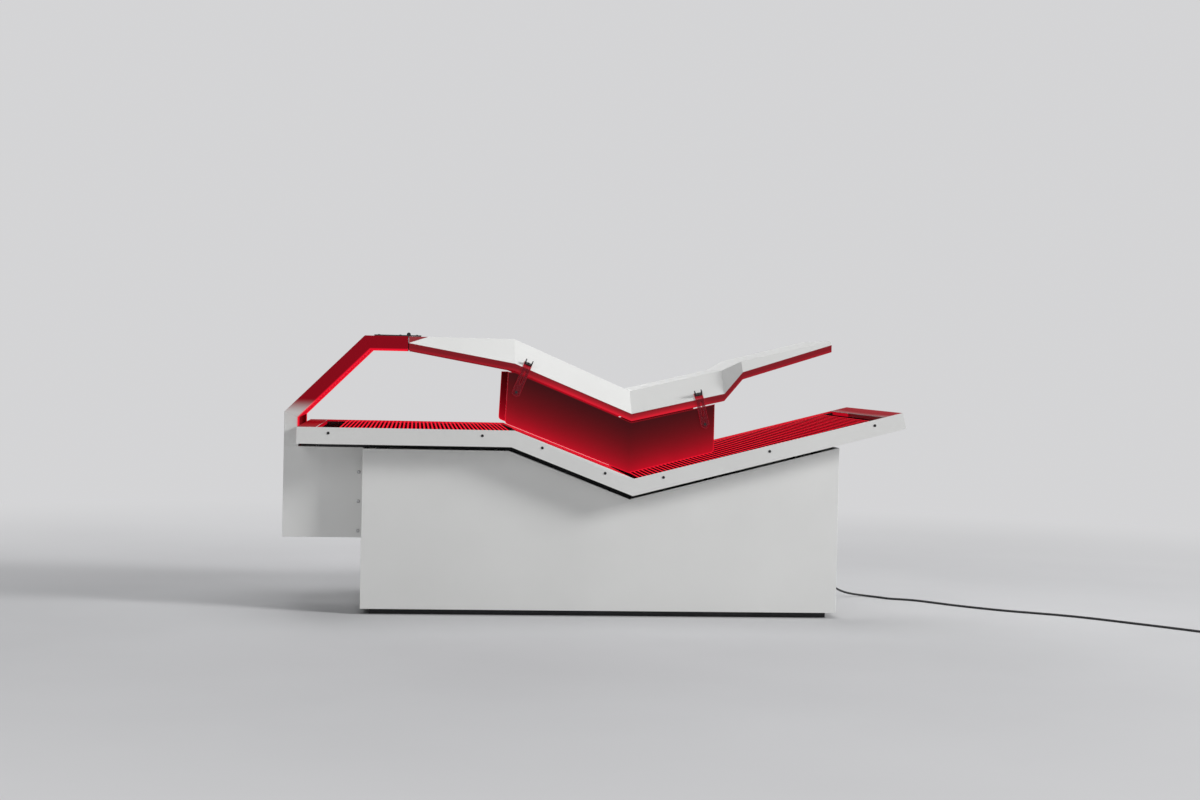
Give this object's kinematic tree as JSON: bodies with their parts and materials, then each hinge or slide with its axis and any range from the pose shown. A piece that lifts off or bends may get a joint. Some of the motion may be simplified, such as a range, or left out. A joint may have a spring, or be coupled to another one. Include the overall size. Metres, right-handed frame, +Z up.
{
  "type": "red light therapy bed",
  "caption": "Free-standing light therapy bed: cabinet with a bent red LED deck, fixed arch at the foot end and a folded LED canopy on a hinge, with clear side shields.",
  "frame": {"origin": "on the floor, under the middle of the bed without its mains lead", "axes": "+X from the foot end to the head end, -Y the front side, +Z up"},
  "size_m": [3.3964, 1.2325, 0.996],
  "materials": {
    "white_coat": "satin powder coat",
    "black_coat": "matt powder coat",
    "clear_acrylic": "clear, polished",
    "led_board": "black board with red LEDs",
    "heat_sink": "mill finish",
    "frame_alloy": "black anodised",
    "screw_steel": "zinc plated",
    "black_plastic": "moulded, satin",
    "black_rubber": "matt"
  },
  "bodies": {
    "base": {"arch_covers": "clear_acrylic", "arch_frame": "frame_alloy", "arch_led_boards": "led_board", "arch_slope": "white_coat", "arch_top": "white_coat", "arch_upright": "white_coat", "base_plate": "black_coat", "cabinet_foot_panel": "white_coat", "cabinet_front_panel": "white_coat", "cabinet_head_panel": "white_coat", "cabinet_rear_panel": "white_coat", "controller": "black_plastic", "cord": "black_rubber", "cord_coil": "black_rubber", "cord_gland": "black_rubber", "deck_cover_back": "clear_acrylic", "deck_cover_hip": "clear_acrylic", "deck_cover_leg": "clear_acrylic", "deck_foot_plate": "white_coat", "deck_head_plate": "white_coat", "deck_heat_sinks": "heat_sink", "deck_led_boards": "led_board", "deck_side_rails": "frame_alloy", "deck_side_screws": "screw_steel", "deck_support_rails": "frame_alloy", "deck_tray_back": "white_coat", "deck_tray_hip": "white_coat", "deck_tray_leg": "white_coat", "fan_frames": "black_plastic", "frame_posts": "frame_alloy", "hinge_fixed_leaf": "black_coat", "hinge_pin": "screw_steel", "inlet_plate": "black_plastic", "plinth_rails": "frame_alloy", "plug": "black_plastic", "power_supplies": "heat_sink", "stop_pads": "black_rubber", "tower_bolts": "screw_steel", "tower_housing": "white_coat"},
    "canopy": {"canopy_covers": "clear_acrylic", "canopy_end_plates": "white_coat", "canopy_led_panels": "led_board", "canopy_skin_head": "white_coat", "canopy_skin_hip": "white_coat", "canopy_skin_leg": "white_coat", "canopy_skin_torso": "white_coat", "canopy_spars": "frame_alloy", "shield_front": "clear_acrylic", "shield_rear": "clear_acrylic", "hinge_moving_leaf": "black_coat", "hanger_straps": "clear_acrylic", "strap_fixings": "screw_steel"},
    "wing_nut_front_foot": {"wing_nut_front_foot": "black_plastic"},
    "wing_nut_front_head": {"wing_nut_front_head": "black_plastic"},
    "wing_nut_rear_foot": {"wing_nut_rear_foot": "black_plastic"},
    "wing_nut_rear_head": {"wing_nut_rear_head": "black_plastic"},
    "fan_rotor_foot": {"fan_rotor_foot": "black_plastic"},
    "fan_rotor_head": {"fan_rotor_head": "black_plastic"},
    "rocker": {"switch_rocker": "black_plastic"}
  },
  "joints": [
    {"name": "canopy_hinge", "type": "hinge", "parent": "base", "child": "canopy", "pos_m": [-0.66464, 0, 0.9845], "axis": [0, -1, 0], "range_deg": [0, 55]},
    {"name": "wing_nut_front_foot_turn", "type": "hinge", "parent": "canopy", "child": "wing_nut_front_foot", "pos_m": [-0.24083, -0.2518, 0.88307], "axis": [0.2763, -0.6796, 0.6796], "continuous": true},
    {"name": "wing_nut_front_head_turn", "type": "hinge", "parent": "canopy", "child": "wing_nut_front_head", "pos_m": [0.37688, -0.2521, 0.78697], "axis": [-0.1647, -0.6975, 0.6975], "continuous": true},
    {"name": "wing_nut_rear_foot_turn", "type": "hinge", "parent": "canopy", "child": "wing_nut_rear_foot", "pos_m": [-0.24083, 0.2518, 0.88307], "axis": [0.2763, 0.6796, 0.6796], "continuous": true},
    {"name": "wing_nut_rear_head_turn", "type": "hinge", "parent": "canopy", "child": "wing_nut_rear_head", "pos_m": [0.37688, 0.2521, 0.78697], "axis": [-0.1647, 0.6975, 0.6975], "continuous": true},
    {"name": "fan_rotor_foot_spin", "type": "hinge", "parent": "base", "child": "fan_rotor_foot", "pos_m": [-0.39664, 0.335, 0.18], "axis": [0, 1, 0], "continuous": true},
    {"name": "fan_rotor_head_spin", "type": "hinge", "parent": "base", "child": "fan_rotor_head", "pos_m": [0.45536, 0.335, 0.18], "axis": [0, 1, 0], "continuous": true},
    {"name": "rocker_tip", "type": "hinge", "parent": "base", "child": "rocker", "pos_m": [0.87386, 0.31, 0.117], "axis": [0, -1, 0], "range_deg": [0, 16]}
  ]
}
